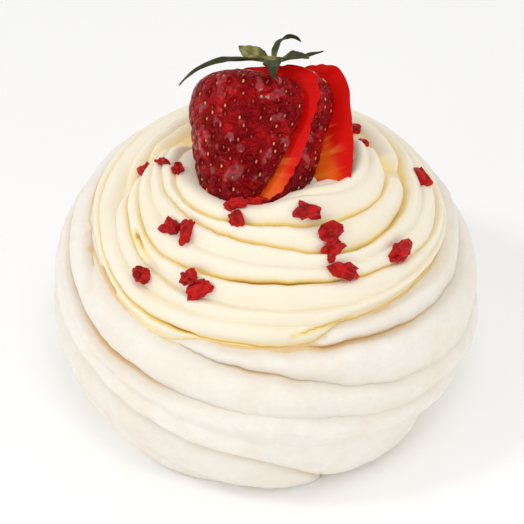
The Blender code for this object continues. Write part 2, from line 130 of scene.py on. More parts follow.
# Hollow inside the last curl that the fruit sits in, and the fold of cream before it.
HOLLOW_AT = 69.5
HOLLOW_DEPTH = 2.4
FOLD = (-28.0, 70.3, 25.0, 2.8, 3.0)

# ---------------------------------------------------------------- shape of the fruit

BERRY_OUTLINE = (
    (0.0, 0.0), (3.6, 0.7), (6.8, 3.1), (8.8, 7.1), (10.4, 11.8), (11.6, 16.7),
    (12.6, 21.1), (12.3, 24.5), (10.1, 26.9), (6.3, 27.9), (2.3, 27.4), (0.0, 27.2),
)
BERRY_TIP = (0.8, -13.0, 49.9)
BERRY_LEAN = 56.0
BERRY_TURN = 19.5
SLICES = {
    "strawberry_slice_front": (-20.0, -5.3, -6.1, -1.0, -0.6, 10.0, -0.6),
    "strawberry_slice_middle": (-4.9, 1.4, -1.0, -0.5, 0.6, 1.8, 2.4),
    "strawberry_slice_back": (1.8, 20.0, 9.6, 0.4, 1.9, -18.3, 3.2),
}

# Leaves: direction, length, width, rise, curl in mm and degrees.
HUB_LIFT = 1.4
HUB_SLIDE = 2.6
HUB_BACK = -6.5
LEAVES = (
    (195.0, 16.8, 2.4, 8.0, -62.0, -45.0),
    (158.0, 8.2, 3.6, 34.0, 6.0, -60.0),
    (50.0, 8.8, 2.8, 88.0, -125.0, 0.0),
    (22.0, 8.4, 1.8, 10.0, 12.0, 40.0),
    (-22.0, 7.8, 2.6, -4.0, -22.0, 55.0),
    (-68.0, 8.4, 3.0, -30.0, -42.0, 0.0),
)

# Dried fruit on the cream: travel, distance up the side, length, width, turn, brightness.
CRUMBS = (
    (88.0, 61.8, 2.7, 2.4, 20.0, 0.5), (82.0, 66.5, 3.4, 0.9, 50.0, 0.3),
    (72.0, 68.8, 2.4, 2.2, 10.0, 0.2), (18.0, 68.8, 4.0, 1.9, 25.0, 0.8),
    (7.0, 71.4, 4.2, 2.6, -10.0, 1.0), (16.0, 66.2, 3.4, 2.4, -60.0, 0.5),
    (44.0, 60.3, 3.2, 2.8, 0.0, 0.4), (36.0, 60.8, 4.6, 2.2, -70.0, 0.8),
    (43.0, 50.3, 3.2, 2.7, 0.0, 0.5), (26.5, 53.6, 3.0, 2.6, 30.0, 0.5),
    (22.0, 51.9, 4.2, 2.8, 40.0, 0.7), (-23.0, 66.6, 4.6, 2.9, -25.0, 0.3),
    (-30.0, 61.8, 4.6, 3.0, 10.0, 0.3), (-28.0, 58.9, 4.4, 2.8, 20.0, 0.8),
    (-28.0, 54.6, 4.6, 2.8, -30.0, 0.6), (-52.0, 52.4, 4.8, 3.0, 0.0, 0.7),
    (-95.0, 53.2, 4.4, 3.0, 40.0, 0.6), (-125.0, 62.6, 3.4, 1.9, -60.0, 0.6),
    (-113.0, 63.8, 3.6, 2.0, -70.0, 0.7),
)


# ---------------------------------------------------------------- settings

class SwirlSettings(bpy.types.PropertyGroup):
    """Sizes and colours of the meringue and the cream."""

    turn_steps: IntProperty(
        name="Steps round", description="Columns of faces round one turn",
        default=480, min=48, max=720)
    ridge_rows: IntProperty(
        name="Rows per ridge", description="Rows of faces across one ridge",
        default=11, min=4, max=24)
    swell: FloatProperty(
        name="Ridge swell", description="How far ridge crests stand outside the outline",
        default=0.5 * MM, unit="LENGTH")
    meringue_color: FloatVectorProperty(
        name="Meringue", description="Colour of the baked meringue", subtype="COLOR",
        size=3, default=(0.83, 0.79, 0.725), min=0.0, max=1.0)
    cream_color: FloatVectorProperty(
        name="Cream", description="Colour of the cream on its crests", subtype="COLOR",
        size=3, default=(0.845, 0.778, 0.635), min=0.0, max=1.0)
    # Painted shade: the yellow that the cream is given in its creases and in the valley.
    crease_shade_color: FloatVectorProperty(
        name="Cream creases", description="Colour of the cream deep in its creases",
        subtype="COLOR", size=3, default=(0.93, 0.72, 0.22), min=0.0, max=1.0)


class BerrySettings(bpy.types.PropertyGroup):
    """Sizes and colours of the sliced strawberry."""

    steps: IntProperty(
        name="Steps round", description="Columns of faces round the fruit",
        default=150, min=24, max=300)
    seed_spacing: FloatProperty(
        name="Seed spacing", description="Distance between neighbouring seeds",
        default=2.3 * MM, unit="LENGTH")
    seed_length: FloatProperty(
        name="Seed length", description="Length of one seed",
        default=0.85 * MM, unit="LENGTH")
    skin_color: FloatVectorProperty(
        name="Skin", description="Colour of the glazed skin", subtype="COLOR",
        size=3, default=(0.26, 0.002, 0.004), min=0.0, max=1.0)
    flesh_color: FloatVectorProperty(
        name="Flesh", description="Colour of the cut faces near the skin",
        subtype="COLOR", size=3, default=(0.60, 0.004, 0.002), min=0.0, max=1.0)
    heart_color: FloatVectorProperty(
        name="Heart", description="Colour of the middle of the cut faces",
        subtype="COLOR", size=3, default=(0.74, 0.10, 0.005), min=0.0, max=1.0)
    crumb_color: FloatVectorProperty(
        name="Dried fruit", description="Colour of the dried pieces", subtype="COLOR",
        size=3, default=(0.28, 0.004, 0.004), min=0.0, max=1.0)


class LeafSettings(bpy.types.PropertyGroup):
    """Sizes and colours of the strawberry leaves."""

    thickness: FloatProperty(
        name="Thickness", description="Thickness of a leaf", default=0.28 * MM,
        unit="LENGTH")
    color: FloatVectorProperty(
        name="Leaf", description="Colour of the leaves", subtype="COLOR", size=3,
        default=(0.16, 0.15, 0.03), min=0.0, max=1.0)
    pale_color: FloatVectorProperty(
        name="Leaf edge", description="Paler colour of veins and backs",
        subtype="COLOR", size=3, default=(0.40, 0.38, 0.17), min=0.0, max=1.0)


class StageSettings(bpy.types.PropertyGroup):
    """Camera, light and floor."""

    elevation: FloatProperty(
        name="Camera height", description="Angle of the camera above the floor",
        default=math.radians(41.0), subtype="ANGLE")
    distance: FloatProperty(
        name="Camera distance", description="Distance from the camera to the cake",
        default=0.34, unit="LENGTH")
    lens: FloatProperty(
        name="Lens", description="Focal length of the camera, mm", default=118.0)
    key_power: FloatProperty(
        name="Key light", description="Power of the light above and in front",
        default=0.36, subtype="POWER")
    window_power: FloatProperty(
        name="Window light", description="Power of the small light that makes glints",
        default=0.45, subtype="POWER")
    top_power: FloatProperty(
        name="Top light", description="Power of the large light above", default=0.30,
        subtype="POWER")
    front_power: FloatProperty(
        name="Front lights", description="Power of each large light at the front corners",
        default=0.4, subtype="POWER")
    fill: FloatProperty(
        name="Fill light", description="Strength of the light all round", default=1.25)
    zenith: FloatProperty(
        name="Light overhead", description="Strength of the light all over", default=0.34)


GROUPS = (
    ("pavlova_swirl", SwirlSettings), ("pavlova_berry", BerrySettings),
    ("pavlova_leaf", LeafSettings), ("pavlova_stage", StageSettings),
)


# ---------------------------------------------------------------- curves and ridges

def curve_slopes(xs, ys):
    """Slopes that keep a smooth line through the points from overshooting."""
    steps = np.diff(xs)
    rises = np.diff(ys) / steps
    slopes = np.zeros(len(xs))
    slopes[0] = rises[0]
    slopes[-1] = rises[-1]
    for i in range(1, len(xs) - 1):
        if rises[i - 1] * rises[i] > 0.0:
            before = 2.0 * steps[i] + steps[i - 1]
            after = steps[i] + 2.0 * steps[i - 1]
            slopes[i] = (before + after) / (before / rises[i - 1] + after / rises[i])
    return slopes


def smooth_line(xs, ys, at):
    """Value of the smooth line through the points (xs, ys) at each place."""
    xs = np.asarray(xs, dtype=float)
    ys = np.asarray(ys, dtype=float)
    at = np.asarray(at, dtype=float)
    slopes = curve_slopes(xs, ys)
    i = np.clip(np.searchsorted(xs, at) - 1, 0, len(xs) - 2)
    step = xs[i + 1] - xs[i]
    t = (at - xs[i]) / step
    a = ys[i] * (1.0 + 2.0 * t) * (1.0 - t) ** 2
    b = slopes[i] * step * t * (1.0 - t) ** 2
    c = ys[i + 1] * t * t * (3.0 - 2.0 * t)
    d = slopes[i + 1] * step * t * t * (t - 1.0)
    return a + b + c + d


def around(places, values, travel):
    """Smooth line through values given once round the swirl."""
    xs = [places[-1] - 360.0] + list(places) + [places[0] + 360.0]
    ys = [values[-1]] + list(values) + [values[0]]
    return smooth_line(xs, ys, travel)


class Outline:
    """The outline as a line of radius and height against distance up the side."""

    def __init__(self, points):
        table = np.array(points, dtype=float)
        steps = np.hypot(np.diff(table[:, 0]), np.diff(table[:, 1]))
        self.at = np.concatenate(([0.0], np.cumsum(steps)))
        self.radii = table[:, 0]
        self.heights = table[:, 1]

    def slope(self, s):
        """Unit vector up the side as (radius, height)."""
        d_radius = smooth_line(self.at, self.radii, s + 0.05) - \
            smooth_line(self.at, self.radii, s)
        d_height = smooth_line(self.at, self.heights, s + 0.05) - \
            smooth_line(self.at, self.heights, s)
        size = np.hypot(d_radius, d_height)
        return d_radius / size, d_height / size

    def place(self, s, out):
        radius = smooth_line(self.at, self.radii, s)
        height = smooth_line(self.at, self.heights, s)
        d_radius, d_height = self.slope(s)
        lift = np.clip(s / 3.0, 0.0, 1.0)
        return radius + out * d_height, height - out * lift * d_radius


class Ridges:
    """A family of creases climbing clockwise round the swirl."""

    def __init__(self, creases, first, per_turn, spacing, under, crests, swell, ragged,
                 steep, reach):
        self.creases = creases
        self.first = first
        self.per_turn = per_turn
        self.spacing = spacing
        self.under = under
        self.crests = crests
        self.swell = swell
        self.ragged = ragged
        self.steep = steep
        self.reach = reach

    def row(self, k):
        """Crease k; past the ends of the list it is carried on at an even spacing."""
        i = k - self.first
        last = len(self.creases) - 1
        if i < 0:
            heights, depths, sharp = self.creases[0]
            return [h + self.spacing * i for h in heights], depths, sharp
        if i > last:
            heights, depths, sharp = self.creases[last]
            return [h + 3.0 * (i - last) for h in heights], depths, sharp
        return self.creases[i]

    def run(self, k, places, pick, travel):
        """Value of crease k along its turn, eased into the turns before and after."""
        before = self.row(k - self.per_turn)
        here = self.row(k)
        after = self.row(k + self.per_turn)
        xs = [p - 360.0 for p in places[-2:]] + list(places) + \
            [p + 360.0 for p in places[:2]]
        ys = list(before[pick][-2:]) + list(here[pick]) + list(after[pick][:2])
        return smooth_line(xs, ys, travel)

    def uneven(self, k, travel, step, seed):
        """Unevenness along crease k, carried on from turn to turn."""
        turns, thread = divmod(k, self.per_turn)
        along = (np.asarray(travel, dtype=float) + 360.0 * turns) / step
        return np.array([noise.noise(Vector((a, 5.7 * thread, seed))) for a in along])

    def heights(self, k, travel):
        return self.run(k, PLACES, 0, travel) + self.ragged * (
            self.uneven(k, travel, 7.0, 1.5) + 0.45 * self.uneven(k, travel, 2.4, 8.5))

    def deep(self, k, travel):
        depth = self.run(k, DEPTH_PLACES, 1, travel)
        return depth * (1.0 + 0.45 * self.uneven(k, travel, 16.0, 3.5))

    def lowest(self):
        return self.first - self.under

    def highest(self):
        return self.first + len(self.creases) + self.per_turn

    def surface(self, k, share, travel):
        """Distance up the side, distance out, and painted shade in the crease (0 to 1)."""
        below = self.heights(k, travel)
        above = self.heights(k + 1, travel)
        crest = around(DEPTH_PLACES, self.crests, travel)
        low = share < crest
        side = np.where(low, crest, 1.0 - crest)
        t = np.where(low, share, 1.0 - share) / side
        depth = np.where(low, self.deep(k, travel), self.deep(k + 1, travel))
        sharp = np.where(low, self.run(k, DEPTH_PLACES, 2, travel),
                         self.run(k + 1, DEPTH_PLACES, 2, travel))
        soft_rise = t * t * (3.0 - 2.0 * t)
        sharp_rise = 1.0 - (1.0 - t) ** (self.steep[0] - self.steep[1] * side)
        rise = sharp * sharp_rise + (1.0 - sharp) * soft_rise
        out = self.swell * rise - depth * (1.0 - rise)
        from_edge = t * side * np.maximum(above - below, 0.05)
        deep = np.clip(depth / 1.4, 0.0, 1.0) * sharp
        out -= 0.7 * deep * np.exp(-(from_edge / 0.22) ** 2)
        # Painted shade: how far the colour is darkened and tinted in and near each crease.
        painted_light = deep * np.exp(-(from_edge / (0.1 + self.reach * side)) ** 2)
        painted_light += 0.25 * np.clip(depth / 1.6, 0.0, 1.0) * (1.0 - rise)
        return below + share * (above - below), out, np.clip(painted_light, 0.0, 1.0)


def ease(value, start, end):
    t = np.clip((value - start) / (end - start), 0.0, 1.0)
    return t * t * (3.0 - 2.0 * t)


def valley(travel, s):
    """Distance out in the valley, the hollow and the fold of cream, and their shade."""
    along = np.where(travel > 0.0, travel, travel + 360.0)
    fade = ease(along, VALLEY_PLACES[0], 95.0) * ease(along, VALLEY_PLACES[-1], 262.0)
    middle = smooth_line(VALLEY_PLACES, VALLEY_LINE, np.clip(along, VALLEY_PLACES[0], VALLEY_PLACES[-1]))
    shade = fade * np.exp(-((s - middle) / VALLEY_WIDTH) ** 2)
    depth = VALLEY_DEPTH * shade + HOLLOW_DEPTH * ease(s, HOLLOW_AT - 2.5, HOLLOW_AT + 2.5)
    place, height, half_place, half_height, rise = FOLD
    fold = np.exp(-((travel - place) / half_place) ** 2 - ((s - height) / half_height) ** 2)
    return rise * fold - depth, shade ** 1.5


def tears(travel, s):
    """Shade of the narrow tears, 0 to 1, and their depth in mm."""
    shade = np.zeros(np.shape(travel))
    depth = np.zeros(np.shape(travel))
    for travel_1, s_1, start, travel_2, s_2, end, width in TEARS:
        x, y = (travel - travel_1) * 0.58, s - s_1
        dx, dy = (travel_2 - travel_1) * 0.58, s_2 - s_1
        share = np.clip((x * dx + y * dy) / (dx * dx + dy * dy), 0.0, 1.0)
        gap = np.hypot(x - share * dx, y - share * dy)
        near = np.exp(-(gap / width) ** 2) * (start + (end - start) * share)
        shade = np.maximum(shade, np.minimum(near, 1.0))
        depth = np.maximum(depth, near)
    return shade, depth


def wobble(points, scale, seed):
    """Smooth unevenness, about -1 to 1, for an array of points in metres."""
    found = np.empty(len(points))
    for i, p in enumerate(points):
        found[i] = noise.noise(Vector((p[0] * scale + seed, p[1] * scale - seed, p[2] * scale)))
    return found


def travel_points(travel, radius, height):
    angle = np.radians(-90.0 - travel)
    return np.stack(
        (radius * np.cos(angle) * MM, radius * np.sin(angle) * MM, height * MM), axis=1)


# ---------------------------------------------------------------- mesh helpers

def vert_array(bm):
    return np.array([v.co[:] for v in bm.verts])


def place_verts(bm, points):
    for vert, point in zip(bm.verts, points):
        vert.co = point


def ridge_sheet(ridges, ridge_rows, steps, low, high):
    """Flat helical grid along the creases, cut to the strip between low and high."""
    first = ridges.lowest()
    columns = (ridges.highest() - first) * ridge_rows
    bm = bmesh.new()
    bmesh.ops.create_grid(bm, x_segments=steps, y_segments=columns, size=1.0)
    out_layer = bm.verts.layers.float.new("out")
    painted_light_layer = bm.verts.layers.float.new("painted_light")
    flat = vert_array(bm)
    i = np.rint((flat[:, 0] + 1.0) / 2.0 * steps).astype(int)
    j = np.rint((flat[:, 1] + 1.0) / 2.0 * columns).astype(int)
    turn = -180.0 + 360.0 * np.arange(steps + 1) / steps
    bottom = low(turn)
    top = high(turn)
    table = np.empty((columns + 1, steps + 1, 3))
    for column in range(columns + 1):
        t = (column % ridge_rows) / ridge_rows
        share = t - 0.6 * math.sin(2.0 * math.pi * t) / (2.0 * math.pi)
        s, out, painted_light_mask = ridges.surface(first + column // ridge_rows, share, turn)
        table[column, :, 0] = (s - bottom) / (top - bottom)
        more, shade = valley(turn, s)
        table[column, :, 1] = out * (1.0 - 0.8 * shade) + more
        # The third column is painted shade: the crease mask, with the valley's shade laid over it.
        table[column, :, 2] = np.maximum(painted_light_mask, 0.8 * shade)
    values = table[j, i]
    travel = turn[i]
    for vert, angle, value in zip(bm.verts, travel, values):
        vert.co = (angle * MM, value[0] * 0.1, 0.0)
        vert[out_layer] = value[1]
        vert[painted_light_layer] = value[2]
    for level, upper in ((0.0, False), (0.1, True)):
        bmesh.ops.bisect_plane(
            bm, geom=bm.verts[:] + bm.edges[:] + bm.faces[:], dist=1e-7,
            plane_co=(0.0, level, 0.0), plane_no=(0.0, 1.0, 0.0),
            clear_inner=not upper, clear_outer=upper)
    flat = vert_array(bm)
    travel = flat[:, 0] / MM
    bottom = low(travel)
    s = bottom + flat[:, 1] * 10.0 * (high(travel) - bottom)
    out = np.array([v[out_layer] for v in bm.verts])
    painted_light_mask = np.array([v[painted_light_layer] for v in bm.verts])
    return bm, travel, s, out, painted_light_mask, painted_light_layer


def open_rims(bm):
    """Open rims of a mesh, lowest first."""
    groups = []
    left = {e for e in bm.edges if e.is_boundary}
    while left:
        stack = [left.pop()]
        group = []
        while stack:
            edge = stack.pop()
            group.append(edge)
            for vert in edge.verts:
                for other in vert.link_edges:
                    if other in left:
                        left.discard(other)
                        stack.append(other)
        groups.append(group)
    groups.sort(key=lambda g: sum(e.verts[0].co.z for e in g) / len(g))
    return groups


def draw_in(bm, edges, share, middle):
    made = bmesh.ops.extrude_edge_only(bm, edges=edges)
    verts = [g for g in made["geom"] if isinstance(g, bmesh.types.BMVert)]
    for vert in verts:
        vert.co = middle + (vert.co - middle) * share
    return [g for g in made["geom"] if isinstance(g, bmesh.types.BMEdge)]


def close_rim(bm, edges, middle):
    """Close a rim with rings of faces that meet at the middle point."""
    for share in (0.9, 0.7, 0.5):
        edges = draw_in(bm, edges, share, middle)
    made = bmesh.ops.extrude_edge_only(bm, edges=edges)
    verts = [g for g in made["geom"] if isinstance(g, bmesh.types.BMVert)]
    bmesh.ops.pointmerge(bm, verts=verts, merge_co=middle)


def add_piece(name, bm, materials, layers=()):
    """Make the finished object, with the named float layers kept as attributes."""
    bmesh.ops.recalc_face_normals(bm, faces=bm.faces[:])
    mesh = bpy.data.meshes.new(name)
    bm.to_mesh(mesh)
    bm.free()
    mesh.shade_smooth()
    piece = bpy.data.objects.new(name, mesh)
    for material in materials:
        mesh.materials.append(material)
    bpy.context.scene.collection.objects.link(piece)
    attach(piece, "root")
    return piece


# ---------------------------------------------------------------- materials

class Value:
    """A shader socket that can be used in arithmetic."""

    def __init__(self, shader, socket):
        self.shader = shader
        self.socket = socket

    def math(self, operation, first, second):
        return self.shader.node("ShaderNodeMath", {"operation": operation},
                                {0: first, 1: second})

    def __add__(self, other):
        return self.math("ADD", self, other)

    __radd__ = __add__

    def __mul__(self, other):
        return self.math("MULTIPLY", self, other)

    __rmul__ = __mul__

    def __sub__(self, other):
        return self.math("SUBTRACT", self, other)

    def __rsub__(self, other):
        return self.math("SUBTRACT", other, self)

    def __truediv__(self, other):
        return self.math("DIVIDE", self, other)

    def __pow__(self, other):
        return self.math("POWER", self, other)


class Shader:
    """A Principled material that is put together from plain calls."""

    def __init__(self, name, **constants):
        self.material = bpy.data.materials.new(name)
        self.material.use_nodes = True
        self.tree = self.material.node_tree
        self.surface = self.tree.nodes["Principled BSDF"]
        for socket, value in constants.items():
            self.surface.inputs[socket.replace("_", " ")].default_value = value

    def node(self, kind, settings=None, sockets=None, output=0):
        made = self.tree.nodes.new(kind)
        for name, value in (settings or {}).items():
            setattr(made, name, value)
        for name, value in (sockets or {}).items():
            if isinstance(value, Value):
                self.tree.links.new(value.socket, made.inputs[name])
            else:
                made.inputs[name].default_value = value
        return Value(self, made.outputs[output])

    def place(self):
        return self.node("ShaderNodeTexCoord", output="Object")

    def attribute(self, name):
        return self.node("ShaderNodeAttribute", {"attribute_name": name}, output="Fac")

    def noise(self, place, scale, detail=2.0, roughness=0.5, distortion=0.0):
        return self.node("ShaderNodeTexNoise", {}, {
            "Vector": place, "Scale": scale, "Detail": detail, "Roughness": roughness,
            "Distortion": distortion})

    def cells(self, place, scale, feature="F1"):
        return self.node("ShaderNodeTexVoronoi", {"feature": feature},
                         {"Vector": place, "Scale": scale})

    def ease(self, value, start, end, low=0.0, high=1.0):
        return self.node("ShaderNodeMapRange", {"interpolation_type": "SMOOTHSTEP"}, {
            "Value": value, "From Min": start, "From Max": end,
            "To Min": low, "To Max": high})

    def mix(self, share, first, second):
        """Mix two colours; each is a tuple or a socket."""
        made = self.tree.nodes.new("ShaderNodeMix")
        made.data_type = "RGBA"
        pairs = ((0, share), (6, first), (7, second))
        for slot, value in pairs:
            if isinstance(value, Value):
                self.tree.links.new(value.socket, made.inputs[slot])
            elif slot == 0:
                made.inputs[slot].default_value = value
            else:
                made.inputs[slot].default_value = (value[0], value[1], value[2], 1.0)
        return Value(self, made.outputs[2])

    def turned(self, matrix):
        """Object coordinates carried into a frame given by a matrix."""
        back = matrix.inverted()
        return self.node("ShaderNodeMapping", {"vector_type": "POINT"}, {
            "Vector": self.place(), "Location": back.to_translation(),
            "Rotation": back.to_euler("XYZ")})

    def axes(self, place):
        made = self.tree.nodes.new("ShaderNodeSeparateXYZ")
        self.tree.links.new(place.socket, made.inputs[0])
        return [Value(self, made.outputs[i]) for i in range(3)]

    def bump(self, height, distance, strength=1.0):
        return self.node("ShaderNodeBump", {}, {
            "Height": height, "Distance": distance, "Strength": strength})

    def set(self, socket, value):
        self.tree.links.new(value.socket, self.surface.inputs[socket])


def meringue_material(look):
    shader = Shader(
        "baked_meringue", Subsurface_Weight=0.10, Subsurface_Scale=0.0012,
        Subsurface_Radius=(1.0, 0.85, 0.65), Specular_IOR_Level=0.25)
    place = shader.place()
    white = tuple(look.meringue_color)
    warm = (white[0] * 0.95, white[1] * 0.90, white[2] * 0.80)
    blotch_grey_and_shade = (white[0] * 0.90, white[1] * 0.87, white[2] * 0.825)
    crease_shade_brown = (white[0] * 0.90, white[1] * 0.66, white[2] * 0.34)
    patch = shader.ease(shader.noise(place, 95.0, 4.0, 0.6), 0.42, 0.68)
    blotch = shader.ease(shader.noise(place, 240.0, 5.0, 0.65, 0.5), 0.44, 0.62)
    speck = shader.ease(shader.noise(place, 900.0, 3.0, 0.7), 0.55, 0.8)
    painted_light_mask = shader.attribute("painted_light")
    color = shader.mix(patch * 0.5, white, warm)
    color = shader.mix(blotch * 0.25, color, blotch_grey_and_shade)
    color = shader.mix(speck * 0.25, color, warm)
    # Painted shade: grey in and near the creases and a brown line deep in them; the grey also makes
    # random blotches.
    color = shader.mix(shader.ease(painted_light_mask, 0.0, 0.75) * 0.9, color, blotch_grey_and_shade)
    color = shader.mix(shader.ease(painted_light_mask, 0.72, 1.0) * 0.85, color, crease_shade_brown)
    shader.set("Base Color", color)
    shader.set("Roughness", shader.ease(patch, 0.0, 1.0, 0.72, 0.92))
    grain = shader.noise(place, 1500.0, 4.0, 0.65)
    coarse = shader.noise(place, 420.0, 4.0, 0.6, 0.4)
    shader.set("Normal", shader.bump(grain * 0.25 + coarse * 0.75, 0.0004, 0.7))
    return shader.material


def cream_material(look):
    shader = Shader(
        "whipped_cream", Subsurface_Weight=0.22, Subsurface_Scale=0.0016,
        Subsurface_Radius=(1.0, 0.8, 0.45), Specular_IOR_Level=0.4)
    place = shader.place()
    crest = tuple(look.cream_color)
    deep = tuple(look.crease_shade_color)
    soft = (crest[0] * 0.98, crest[1] * 0.965, crest[2] * 0.90)
    deep_crease_shade_gold = (deep[0] * 0.66, deep[1] * 0.50, deep[2] * 0.35)
    patch = shader.ease(shader.noise(place, 70.0, 3.0, 0.5), 0.4, 0.7)
    painted_light_mask = shader.attribute("painted_light")
    color = shader.mix(patch * 0.6, crest, soft)
    # Painted shade: yellow in the creases and the valley, and gold deepest in them.
    color = shader.mix(shader.ease(painted_light_mask, 0.0, 0.8) * 0.8, color, deep)
    color = shader.mix(shader.ease(painted_light_mask, 0.82, 1.0) * 0.75, color, deep_crease_shade_gold)
    shader.set("Base Color", color)
    shader.set("Roughness", shader.ease(patch, 0.0, 1.0, 0.42, 0.56))
    fine = shader.noise(place, 700.0, 2.0, 0.5)
    shader.set("Normal", shader.bump(fine, 0.0002, 0.18))
    return shader.material


def skin_material(look, frame_matrix, name):
    shader = Shader(
        name, Coat_Roughness=0.03, Specular_IOR_Level=0.06,
        Subsurface_Weight=0.08, Subsurface_Scale=0.001,
        Subsurface_Radius=(1.0, 0.1, 0.05))
    place = shader.turned(frame_matrix)
    skin = tuple(look.skin_color)
    bright = (skin[0] * 1.9, skin[1] * 2.4, skin[2] * 1.6)
    dark = (skin[0] * 0.34, skin[1] * 0.3, skin[2] * 0.7)
    patch = shader.ease(shader.noise(place, 190.0, 4.0, 0.6), 0.38, 0.66)
    low = shader.ease(shader.axes(place)[2], 0.013, 0.002)
    painted_light_mask = shader.attribute("painted_light")
    color = shader.mix(patch, skin, bright)
    color = shader.mix(low * 0.55, color, dark)
    # Painted shade: darker skin in the dimples round the seeds.
    color = shader.mix(painted_light_mask * 0.75, color, dark)
    shader.set("Base Color", color)
    shader.set("Roughness", shader.ease(patch, 0.0, 1.0, 0.26, 0.40))
    wet = shader.ease(shader.noise(place, 380.0, 2.0, 0.5), 0.57, 0.64)
    shader.set("Coat Weight", wet * 0.95 + 0.02)
    glaze = shader.noise(place, 330.0, 2.5, 0.5, 1.6)
    shader.set("Normal", shader.bump(glaze, 0.0055, 1.0))
    return shader.material


def flesh_material(look, frame_matrix, name):
    shader = Shader(
        name, Coat_Weight=0.04, Coat_Roughness=0.15, Specular_IOR_Level=0.03, Subsurface_Weight=0.15,
        Subsurface_Scale=0.0015, Subsurface_Radius=(1.0, 0.25, 0.08))
    place = shader.turned(frame_matrix)
    x, _, z = shader.axes(place)
    flesh = tuple(look.flesh_color)
    heart = tuple(look.heart_color)
    pale = (0.86, 0.32, 0.06)
    stretched = shader.node("ShaderNodeMapping", {"vector_type": "POINT"}, {
        "Vector": place, "Scale": (0.16, 1.0, 1.0)})
    streak = shader.ease(shader.noise(stretched, 780.0, 2.0, 0.5), 0.52, 0.66)
    inside = shader.ease(shader.node("ShaderNodeMath", {"operation": "ABSOLUTE"}, {0: x}),
                         0.0085, 0.002)
    low = shader.ease(z, 0.024, 0.011)
    core = inside * low
    blotch = shader.noise(place, 240.0, 3.0, 0.5)
    color = shader.mix(shader.ease(core + blotch * 0.35, 0.35, 1.05), flesh, heart)
    color = shader.mix(streak * inside * shader.ease(z, 0.027, 0.021) *
                       shader.ease(z, 0.004, 0.010) * 0.8, color, pale)
    shader.set("Base Color", color)
    shader.set("Roughness", shader.ease(blotch, 0.3, 0.7, 0.28, 0.42))
    shader.set("Normal", shader.bump(shader.noise(stretched, 900.0, 3.0, 0.5), 0.0003, 0.3))
    return shader.material


def seed_material():
    shader = Shader("strawberry_seed", Coat_Weight=0.2, Coat_Roughness=0.1,
                    Specular_IOR_Level=0.2)
    place = shader.place()
    tint = shader.ease(shader.noise(place, 420.0, 1.0, 0.5), 0.48, 0.62)
    shader.set("Base Color", shader.mix(tint, (0.33, 0.012, 0.006), (0.78, 0.30, 0.12)))
    shader.set("Roughness", shader.ease(tint, 0.0, 1.0, 0.35, 0.5))
    return shader.material


def leaf_material(look):
    shader = Shader("strawberry_leaf", Subsurface_Weight=0.05, Subsurface_Scale=0.0005,
                    Specular_IOR_Level=0.15)
    place = shader.place()
    green = tuple(look.color)
    pale = tuple(look.pale_color)
    dark = (green[0] * 0.22, green[1] * 0.28, green[2] * 0.35)
    whole = shader.ease(shader.noise(place, 85.0, 1.0, 0.5), 0.42, 0.58)
    patch = shader.ease(shader.noise(place, 420.0, 4.0, 0.6), 0.38, 0.62)
    color = shader.mix(whole, dark, green)
    color = shader.mix(patch * whole * 0.85, color, pale)
    # Painted shade: darker along the fold down the middle.
    color = shader.mix(shader.attribute("painted_light"), color, dark)
    shader.set("Base Color", color)
    shader.set("Roughness", shader.ease(patch, 0.0, 1.0, 0.5, 0.75))
    shader.set("Normal", shader.bump(shader.noise(place, 1400.0, 3.0, 0.6), 0.0002, 0.5))
    return shader.material


def crumb_material(look):
    shader = Shader("dried_fruit", Specular_IOR_Level=0.12, Coat_Weight=0.05,
                    Coat_Roughness=0.3)
    place = shader.place()
    red = tuple(look.crumb_color)
    dark = (red[0] * 0.35, red[1] * 0.4, red[2] * 0.5)
    vivid_red_and_highlight = (red[0] * 2.0, red[1] * 2.0, red[2] * 1.3)
    patch = shader.ease(shader.noise(place, 420.0, 3.0, 0.6), 0.40, 0.62)
    color = shader.mix(patch * 0.6, red, dark)
    # Painted highlight: lighter vivid red on the raised folds of each piece.
    color = shader.mix(shader.attribute("painted_light") * 0.85, color, vivid_red_and_highlight)
    shader.set("Base Color", color)
    shader.set("Roughness", shader.ease(patch, 0.0, 1.0, 0.35, 0.6))
    shader.set("Normal", shader.bump(shader.noise(place, 1100.0, 3.0, 0.6), 0.0004, 0.8))
    return shader.material


def floor_material():
    shader = Shader("pale_floor", Specular_IOR_Level=0.1)
    tint = shader.noise(shader.place(), 3.0, 1.0, 0.5)
    shader.set("Base Color", shader.mix(tint, (0.97, 0.97, 0.97), (0.98, 0.98, 0.98)))
    shader.surface.inputs["Roughness"].default_value = 0.9
    return shader.material


# ---------------------------------------------------------------- pieces

def meeting(travel):
    return around(MEET_PLACES, MEET_LINE, travel)


def meeting_blend(travel, s, out, painted_light_mask, side):
    """Ease the surface down into the line where cream meets meringue.

    Past the line (side 1 is above it, side -1 below it) the surface dives inwards.
    """
    depth = around(DEPTH_PLACES, MEET_DEPTH, travel)
    past = (s - meeting(travel)) * side
    near = np.exp(-(past / MEET_WIDTH) ** 2)
    # Painted shade: a dark line along the crease where cream meets meringue.
    line = np.exp(-(past / 0.45) ** 2) * np.clip(depth / 1.6, 0.0, 1.0)
    dive = 0.6 * np.clip(past / 0.3, 0.0, 1.0)
    return out * (1.0 - near) - depth * near - dive, np.maximum(painted_light_mask, line)


